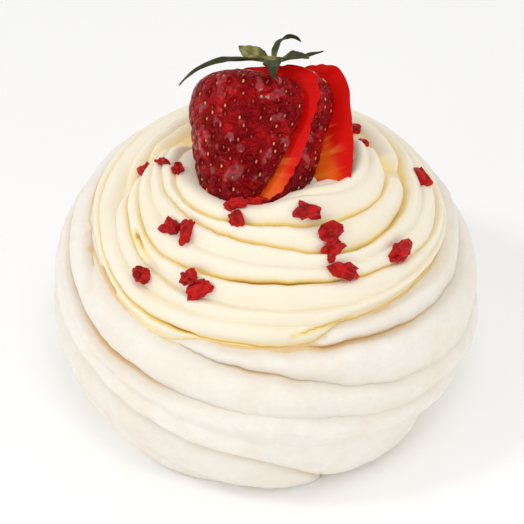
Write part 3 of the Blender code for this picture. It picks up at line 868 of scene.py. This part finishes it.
def swirl_mesh(ridges, look, low, high, side, rough, seed):
    """Mesh of one piped layer, still open at its two rims."""
    outline = Outline(OUTLINE)
    bm, travel, s, out, painted_light_mask, painted_light_layer = ridge_sheet(
        ridges, look.ridge_rows, look.turn_steps, low, high)
    out, painted_light_mask = meeting_blend(travel, s, out, painted_light_mask, side)
    shade, depth = tears(travel, s)
    # The tears are dented and also given painted shade in the colour mask.
    out, painted_light_mask = out - depth, np.maximum(painted_light_mask, shade)
    radius, height = outline.place(s, out)
    points = travel_points(travel, radius, height)
    extra = sum(size * wobble(points, step, seed + step) for size, step in rough)
    radius, height = outline.place(s, out + extra)
    place_verts(bm, travel_points(travel, radius, np.maximum(height, 0.0)))
    for vert, value in zip(bm.verts, painted_light_mask):
        vert[painted_light_layer] = value
    bmesh.ops.remove_doubles(bm, verts=bm.verts[:], dist=0.00002)
    return bm


class PAVLOVA_OT_meringue(bpy.types.Operator):
    """Pipe the meringue nest"""

    bl_idname = "pavlova.meringue"
    bl_label = "Meringue"

    def execute(self, context):
        look = context.scene.pavlova_swirl
        ridges = Ridges(
            MERINGUE_CREASES, MERINGUE_FIRST, MERINGUE_RIDGES, MERINGUE_SPACING,
            MERINGUE_UNDER, MERINGUE_CRESTS, look.swell / MM, 0.45, (5.4, 5.8), 2.6)
        bm = swirl_mesh(
            ridges, look, lambda travel: np.zeros(np.shape(travel)),
            lambda travel: meeting(travel) + 0.3, 1,
            ((0.35, 75.0), (0.20, 230.0), (0.10, 640.0)), 1.7)
        base, top = open_rims(bm)
        bmesh.ops.contextual_create(bm, geom=base)
        close_rim(bm, top, Vector((0.0, 0.0, NEST_TOP * MM)))
        piece = add_piece("meringue_nest", bm, [meringue_material(look)])
        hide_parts("meringue")
        return {"FINISHED"}


class PAVLOVA_OT_cream(bpy.types.Operator):
    """Pipe the cream swirl on top of the meringue"""

    bl_idname = "pavlova.cream"
    bl_label = "Cream"

    def execute(self, context):
        look = context.scene.pavlova_swirl
        ridges = Ridges(
            CREAM_CREASES, CREAM_FIRST, CREAM_RIDGES, CREAM_SPACING, CREAM_UNDER,
            CREAM_CRESTS, 0.7 * look.swell / MM, 0.2, (4.4, 1.8), 0.6)
        bm = swirl_mesh(
            ridges, look, lambda travel: meeting(travel) - 0.3,
            lambda travel: np.full(np.shape(travel), CREAM_END), -1,
            ((0.24, 80.0), (0.05, 300.0)), 5.2)
        base, top = open_rims(bm)
        close_rim(bm, base, Vector((0.0, 0.0, (NEST_TOP - 0.4) * MM)))
        close_rim(bm, top, Vector((0.0, 0.0, OUTLINE[-1][1] * MM)))
        piece = add_piece("cream_swirl", bm, [cream_material(look)])
        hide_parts("cream")
        return {"FINISHED"}


def berry_frame(slide, back, lift, roll, swing):
    """Placing of one slice: lean and turn of the fruit, then its own slide, roll and turn."""
    tip = Matrix.Translation(Vector(BERRY_TIP) * MM)
    lean = Matrix.Rotation(math.radians(-BERRY_LEAN), 4, "X")
    turn = Matrix.Rotation(math.radians(-BERRY_TURN), 4, "Z")
    move = Matrix.Translation(Vector((slide, back, lift)) * MM)
    own = Matrix.Rotation(math.radians(swing), 4, "Z")
    tilt = Matrix.Rotation(math.radians(roll), 4, "Y")
    return tip @ lean @ turn @ move @ own @ tilt


def berry_line():
    """The fruit's outline drawn as a smooth line of many points."""
    table = np.array(BERRY_OUTLINE)
    at = np.concatenate(([0.0], np.cumsum(np.hypot(*np.diff(table, axis=0).T))))
    fine = np.linspace(0.0, at[-1], 110)
    radii = smooth_line(at, table[:, 0], fine)
    heights = smooth_line(at, table[:, 1], fine)
    radii[0] = radii[-1] = 0.0
    return radii, heights, fine


def seed_places(spacing):
    """Directions and heights of the seeds, in staggered rows up the fruit."""
    radii, heights, fine = berry_line()
    found = []
    s = spacing * 0.7
    row = 0
    while s < fine[-1] - 4.5:
        radius = float(np.interp(s, fine, radii))
        height = float(np.interp(s, fine, heights))
        count = max(3, int(2.0 * math.pi * radius / (spacing * 1.12)))
        for i in range(count):
            shift = noise.noise(Vector((row * 3.1, i * 1.7, 0.5))) * 0.8
            angle = 2.0 * math.pi * (i + 0.5 * (row % 2) + shift) / count
            rise = noise.noise(Vector((i * 2.3, row * 1.9, 4.5))) * 1.4
            found.append((angle, s + rise, radius, height))
        s += spacing * 0.86
        row += 1
    return found


class PAVLOVA_OT_strawberry(bpy.types.Operator):
    """Slice the strawberry, with dimples and seeds in its skin"""

    bl_idname = "pavlova.strawberry"
    bl_label = "Strawberry"

    def execute(self, context):
        look = context.scene.pavlova_berry
        for name, sizes in SLICES.items():
            self.make_slice(look, name, sizes)
        return {"FINISHED"}

    def make_slice(self, look, name, sizes):
        front, behind = sizes[:2]
        placing = berry_frame(*sizes[2:])
        radii, heights, fine = berry_line()
        bm = bmesh.new()
        painted_light_mask = bm.verts.layers.float.new("painted_light")
        points = [bm.verts.new((r * MM, 0.0, z * MM)) for r, z in zip(radii, heights)]
        chain = [bm.edges.new((a, b)) for a, b in zip(points, points[1:])]
        bmesh.ops.spin(
            bm, geom=points + chain, cent=(0.0, 0.0, 0.0), axis=(0.0, 0.0, 1.0),
            angle=2.0 * math.pi, steps=look.steps, use_merge=True)
        bmesh.ops.remove_doubles(bm, verts=bm.verts[:], dist=0.00001)
        bm.normal_update()
        if sum(f.normal.dot(f.calc_center_median() - Vector((0.0, 0.0, 0.015)))
               for f in bm.faces) < 0.0:
            bmesh.ops.reverse_faces(bm, faces=bm.faces[:])
            bm.normal_update()
        seeds = self.dimple(bm, painted_light_mask, look, fine, radii, heights)
        cuts = []
        for plane, upper in ((front, False), (behind, True)):
            if abs(plane) > 12.0:
                continue
            bmesh.ops.bisect_plane(
                bm, geom=bm.verts[:] + bm.edges[:] + bm.faces[:], dist=1e-7,
                plane_co=(0.0, plane * MM, 0.0), plane_no=(0.0, 1.0, 0.0),
                clear_inner=not upper, clear_outer=upper)
            rim = [e for e in bm.edges if e.is_boundary]
            made = bmesh.ops.contextual_create(bm, geom=rim)
            for face in made["faces"]:
                face.material_index = 1
                face.smooth = False
            cuts.append(plane * MM)
        edges = [e for e in bm.edges if any(f.material_index == 1 for f in e.link_faces)
                 and not all(f.material_index == 1 for f in e.link_faces)]
        bmesh.ops.bevel(
            bm, geom=edges, offset=0.00035, segments=2, profile=0.5, affect="EDGES",
            material=-1, clamp_overlap=True)
        bmesh.ops.transform(bm, matrix=placing, verts=bm.verts[:])
        piece = add_piece(
            name.replace("slice", "cut"), bm,
            [skin_material(look, placing, name + "_skin"),
             flesh_material(look, placing, name + "_flesh")])
        for polygon in piece.data.polygons:
            polygon.use_smooth = len(polygon.vertices) < 8
        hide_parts(name)
        self.add_seeds(look, name, seeds, front, behind, placing)

    def dimple(self, bm, painted_light_mask, look, fine, radii, heights):
        """Press a dimple round every seed and return the seeds' places."""
        seeds = []
        for angle, s, _, _ in seed_places(look.seed_spacing / MM):
            radius = float(np.interp(s, fine, radii))
            height = float(np.interp(s, fine, heights))
            before = float(np.interp(s - 0.2, fine, radii))
            below = float(np.interp(s - 0.2, fine, heights))
            up = Vector(((radius - before) * math.cos(angle),
                         (radius - before) * math.sin(angle), height - below)).normalized()
            across = Vector((-math.sin(angle), math.cos(angle), 0.0))
            out = across.cross(up)
            point = Vector((radius * math.cos(angle), radius * math.sin(angle), height)) * MM
            seeds.append((point, up, across, out))
        table = np.array([s[0][:] for s in seeds])
        points = vert_array(bm)
        normals = np.array([v.normal[:] for v in bm.verts])
        press = np.zeros(len(points))
        for start in range(0, len(points), 4000):
            part = points[start:start + 4000]
            gap = np.linalg.norm(part[:, None, :] - table[None, :, :], axis=2).min(axis=1)
            press[start:start + 4000] = np.exp(-(gap / 0.00062) ** 2)
        lumps = wobble(points, 210.0, 8.0)
        fine_lumps = wobble(points, 700.0, 2.0)
        move = -0.00034 * press + 0.00012 * lumps + 0.00006 * fine_lumps
        place_verts(bm, points + normals * move[:, None])
        # The depth of each dimple is kept for painted shade in the skin's colour.
        for vert, value in zip(bm.verts, press):
            vert[painted_light_mask] = value
        return seeds

    def add_seeds(self, look, name, seeds, front, behind, placing):
        bm = bmesh.new()
        for point, up, across, out in seeds:
            if not front * MM + 0.0004 < point.y < behind * MM - 0.0004:
                continue
            turn = Matrix((across, up, out)).transposed().to_4x4()
            place = Matrix.Translation(point - out * 0.00026) @ turn
            size = Matrix.Diagonal((0.27 * look.seed_length, 0.5 * look.seed_length,
                                    0.00018, 1.0))
            made = bmesh.ops.create_icosphere(
                bm, subdivisions=1, radius=1.0, matrix=placing @ place @ size)
            del made
        piece = add_piece(name.replace("slice", "seeds"), bm, [seed_material()])


class PAVLOVA_OT_leaves(bpy.types.Operator):
    """Grow the leaves of the strawberry"""

    bl_idname = "pavlova.leaves"
    bl_label = "Leaves"

    def execute(self, context):
        look = context.scene.pavlova_leaf
        bm = bmesh.new()
        painted_light_mask = bm.verts.layers.float.new("painted_light")
        top = BERRY_OUTLINE[-2][1] + HUB_LIFT
        place = berry_frame(HUB_SLIDE, HUB_BACK, top, 0.0, 0.0)
        bmesh.ops.create_cone(
            bm, cap_ends=True, segments=14, radius1=0.0016, radius2=0.0011,
            depth=0.0012, matrix=place)
        for number, leaf in enumerate(LEAVES):
            self.grow(bm, painted_light_mask, look, place, leaf, number)
        piece = add_piece("leaf_crown", bm, [leaf_material(look)])
        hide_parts("strawberry_leaves")
        return {"FINISHED"}

    def grow(self, bm, painted_light_mask, look, place, leaf, number):
        """One leaf as a bent, folded blade with ragged edges."""
        direction, length, width, rise, curl, roll = leaf
        along_steps = 22
        across_steps = 8
        made = bmesh.ops.create_grid(
            bm, x_segments=along_steps, y_segments=across_steps, size=1.0)
        verts = made["verts"]
        angle = math.radians(direction)
        side = Vector((-math.sin(angle), math.cos(angle), 0.0))
        spine = [Vector((math.cos(angle), math.sin(angle), 0.0)) * 0.001]
        sides = []
        ups = []
        for step in range(along_steps + 1):
            bend = math.radians(rise + curl * (step / along_steps) ** 1.6)
            forward = Vector((math.cos(angle) * math.cos(bend),
                              math.sin(angle) * math.cos(bend), math.sin(bend)))
            turn = Matrix.Rotation(
                math.radians(roll) * min(1.0, 2.2 * step / along_steps), 3, forward)
            sides.append(turn @ side)
            ups.append(turn @ forward.cross(side))
            spine.append(spine[-1] + forward * (length + 0.6) / along_steps * MM)
        for vert in verts:
            i = round((vert.co.x + 1.0) / 2.0 * along_steps)
            y = vert.co.y
            t = i / along_steps
            half = width / 2.0 * MM * (0.35 + 0.65 * min(1.0, t * 3.2)) * \
                (1.0 - max(0.0, t - 0.45) / 0.55) ** 0.75
            half *= 1.0 + 0.16 * noise.noise(Vector((t * 9.0, math.copysign(2.0, y), number)))
            half = max(half, 0.00006)
            fold = 0.35 * abs(y) * half
            ripple = 0.00022 * noise.noise(Vector((t * 5.0, y * 1.4, number * 3.0)))
            # Painted shade: darker along the fold down the middle of the leaf.
            vert[painted_light_mask] = max(0.0, 1.0 - abs(y) * 6.0) * 0.35
            vert.co = spine[i] + sides[i] * y * half + ups[i] * (fold + ripple)
            vert.co = place @ vert.co
        faces = list({f for v in verts for f in v.link_faces})
        bmesh.ops.solidify(bm, geom=faces, thickness=look.thickness)


def ragged_lump(bm, painted_light_mask, place, length, width, bright, number):
    """One crumpled dried piece with hollows pressed into it."""
    made = bmesh.ops.create_icosphere(bm, subdivisions=3, radius=1.0)
    height = 0.5 * (0.5 * width + 1.0)
    for vert in made["verts"]:
        p = vert.co.copy()
        seed = Vector((number * 5.3, number * 2.1, 0.0))
        lobes = noise.noise(p * 1.5 + seed)
        folds = noise.noise(p * 2.7 - seed)
        bump = 1.0 + 0.6 * lobes + 0.28 * folds
        block = max(abs(p.x), abs(p.y), abs(p.z)) ** 0.35
        p = p / block * max(bump, 0.35)
        vert.co = place @ Vector((p.x * length / 2.0, p.y * width / 2.0, p.z * height))
        # Painted highlight: vivid red on the raised folds, more on pieces with a higher brightness.
        vert[painted_light_mask] = min(max(bright + 2.2 * folds, 0.0), 1.0)


class PAVLOVA_OT_crumbs(bpy.types.Operator):
    """Scatter the dried fruit on the cream"""

    bl_idname = "pavlova.crumbs"
    bl_label = "Dried fruit"

    def execute(self, context):
        look = context.scene.pavlova_berry
        cream = bpy.data.objects["cream_swirl"]
        tree = BVHTree.FromPolygons(
            [v.co for v in cream.data.vertices], [p.vertices for p in cream.data.polygons])
        outline = Outline(OUTLINE)
        bm = bmesh.new()
        painted_light_mask = bm.verts.layers.float.new("painted_light")
        for number, (travel, s, length, width, turn, bright) in enumerate(CRUMBS):
            at = np.array([travel])
            r_out, z_out = outline.place(np.array([s]), 8.0)
            r_in, z_in = outline.place(np.array([s]), 0.0)
            start = Vector(travel_points(at, r_out, z_out)[0])
            end = Vector(travel_points(at, r_in, z_in)[0])
            hit, normal, _, _ = tree.ray_cast(start, (end - start).normalized())
            if hit is None:
                raise RuntimeError("no cream under a dried piece")
            out = (start - end).normalized()
            angle = math.radians(-90.0 - travel)
            across = Vector((-math.sin(angle), math.cos(angle), 0.0))
            up = out.cross(across)
            basis = Matrix((across, up, out)).transposed().to_4x4()
            spin = Matrix.Rotation(math.radians(turn), 4, "Z")
            place = Matrix.Translation(hit + out * 0.0006) @ basis @ spin @ \
                Matrix.Scale(MM, 4)
            ragged_lump(bm, painted_light_mask, place, length, width, bright, number)
        piece = add_piece("dried_fruit", bm, [crumb_material(look)])
        for polygon in piece.data.polygons:
            polygon.use_smooth = False
        return {"FINISHED"}


class PAVLOVA_OT_stage(bpy.types.Operator):
    """Set up the floor, the lights and the camera"""

    bl_idname = "pavlova.stage"
    bl_label = "Stage"

    def execute(self, context):
        look = context.scene.pavlova_stage
        self.floor()
        self.lights(look)
        self.camera(look)
        context.scene.view_settings.view_transform = "Standard"
        return {"FINISHED"}

    def floor(self):
        bm = bmesh.new()
        bmesh.ops.create_grid(bm, x_segments=8, y_segments=8, size=1.5)
        mesh = bpy.data.meshes.new("floor")
        bm.to_mesh(mesh)
        bm.free()
        mesh.materials.append(floor_material())
        floor = bpy.data.objects.new("floor", mesh)
        bpy.context.scene.collection.objects.link(floor)

    def lights(self, look):
        world = bpy.data.worlds.new("studio")
        world.use_nodes = True
        back = world.node_tree.nodes["Background"]
        back.inputs["Color"].default_value = (1.0, 1.0, 1.0, 1.0)
        place = world.node_tree.nodes.new("ShaderNodeTexCoord")
        axes = world.node_tree.nodes.new("ShaderNodeSeparateXYZ")
        level = world.node_tree.nodes.new("ShaderNodeMapRange")
        level.inputs["To Min"].default_value = look.fill
        level.inputs["To Max"].default_value = look.zenith
        for start, end in (
                (place.outputs["Generated"], axes.inputs[0]),
                (axes.outputs[2], level.inputs["Value"]),
                (level.outputs[0], back.inputs["Strength"])):
            world.node_tree.links.new(start, end)
        bpy.context.scene.world = world
        self.area("top", look.top_power, 0.42, (0.06, 0.04, 0.46), (1.0, 0.99, 0.97))
        self.area("key", look.key_power, 0.16, (0.05, -0.20, 0.47), (1.0, 0.99, 0.97))
        self.area("window", look.window_power, 0.08, (-0.30, -0.12, 0.44), (1.0, 0.98, 0.97))
        self.area("left", look.front_power, 0.40, (-0.50, -0.42, 0.26), (1.0, 0.99, 0.98))
        self.area("right", look.front_power, 0.40, (0.50, -0.42, 0.26), (1.0, 0.99, 0.98))

    def area(self, name, power, size, spot, color):
        light = bpy.data.lights.new(name, "AREA")
        light.energy = power
        light.size = size
        light.color = color
        item = bpy.data.objects.new(name, light)
        item.location = spot
        aim = Vector((0.0, 0.0, 0.04)) - Vector(spot)
        item.rotation_euler = aim.to_track_quat("-Z", "Y").to_euler()
        bpy.context.scene.collection.objects.link(item)

    def camera(self, look):
        data = bpy.data.cameras.new("camera")
        data.lens = look.lens
        data.sensor_width = 36.0
        data.clip_start = 0.01
        item = bpy.data.objects.new("camera", data)
        low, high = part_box("meringue")
        target = Vector((-0.0006, 0.0, low[2] + 0.655 * (high[2] - low[2])))
        away = Vector((0.0, -math.cos(look.elevation), math.sin(look.elevation)))
        item.location = target + away * look.distance
        item.rotation_euler = (-away).to_track_quat("-Z", "Y").to_euler()
        bpy.context.scene.collection.objects.link(item)
        bpy.context.scene.camera = item


STEPS = (
    PAVLOVA_OT_meringue, PAVLOVA_OT_cream, PAVLOVA_OT_strawberry, PAVLOVA_OT_leaves,
    PAVLOVA_OT_crumbs, PAVLOVA_OT_stage,
)


class PAVLOVA_PT_panel(bpy.types.Panel):
    """Sidebar panel with one button for each step"""

    bl_idname = "PAVLOVA_PT_panel"
    bl_label = "Mini pavlova"
    bl_space_type = "VIEW_3D"
    bl_region_type = "UI"
    bl_category = "Pavlova"

    def draw(self, context):
        for step in STEPS:
            self.layout.operator(step.bl_idname)
        for name, group in GROUPS:
            box = self.layout.box()
            box.label(text=group.__doc__)
            for field in group.__annotations__:
                box.prop(getattr(context.scene, name), field)


CLASSES = tuple(group for _, group in GROUPS) + STEPS + (PAVLOVA_PT_panel,)


def register():
    for item in CLASSES:
        bpy.utils.register_class(item)
    for name, group in GROUPS:
        setattr(bpy.types.Scene, name, PointerProperty(type=group))


def unregister():
    for name, _ in GROUPS:
        delattr(bpy.types.Scene, name)
    for item in reversed(CLASSES):
        bpy.utils.unregister_class(item)


def main():
    register()
    bpy.ops.pavlova.meringue()
    bpy.ops.pavlova.cream()
    bpy.ops.pavlova.strawberry()
    bpy.ops.pavlova.leaves()
    bpy.ops.pavlova.crumbs()
    bpy.ops.pavlova.stage()


if __name__ == "__main__":
    main()
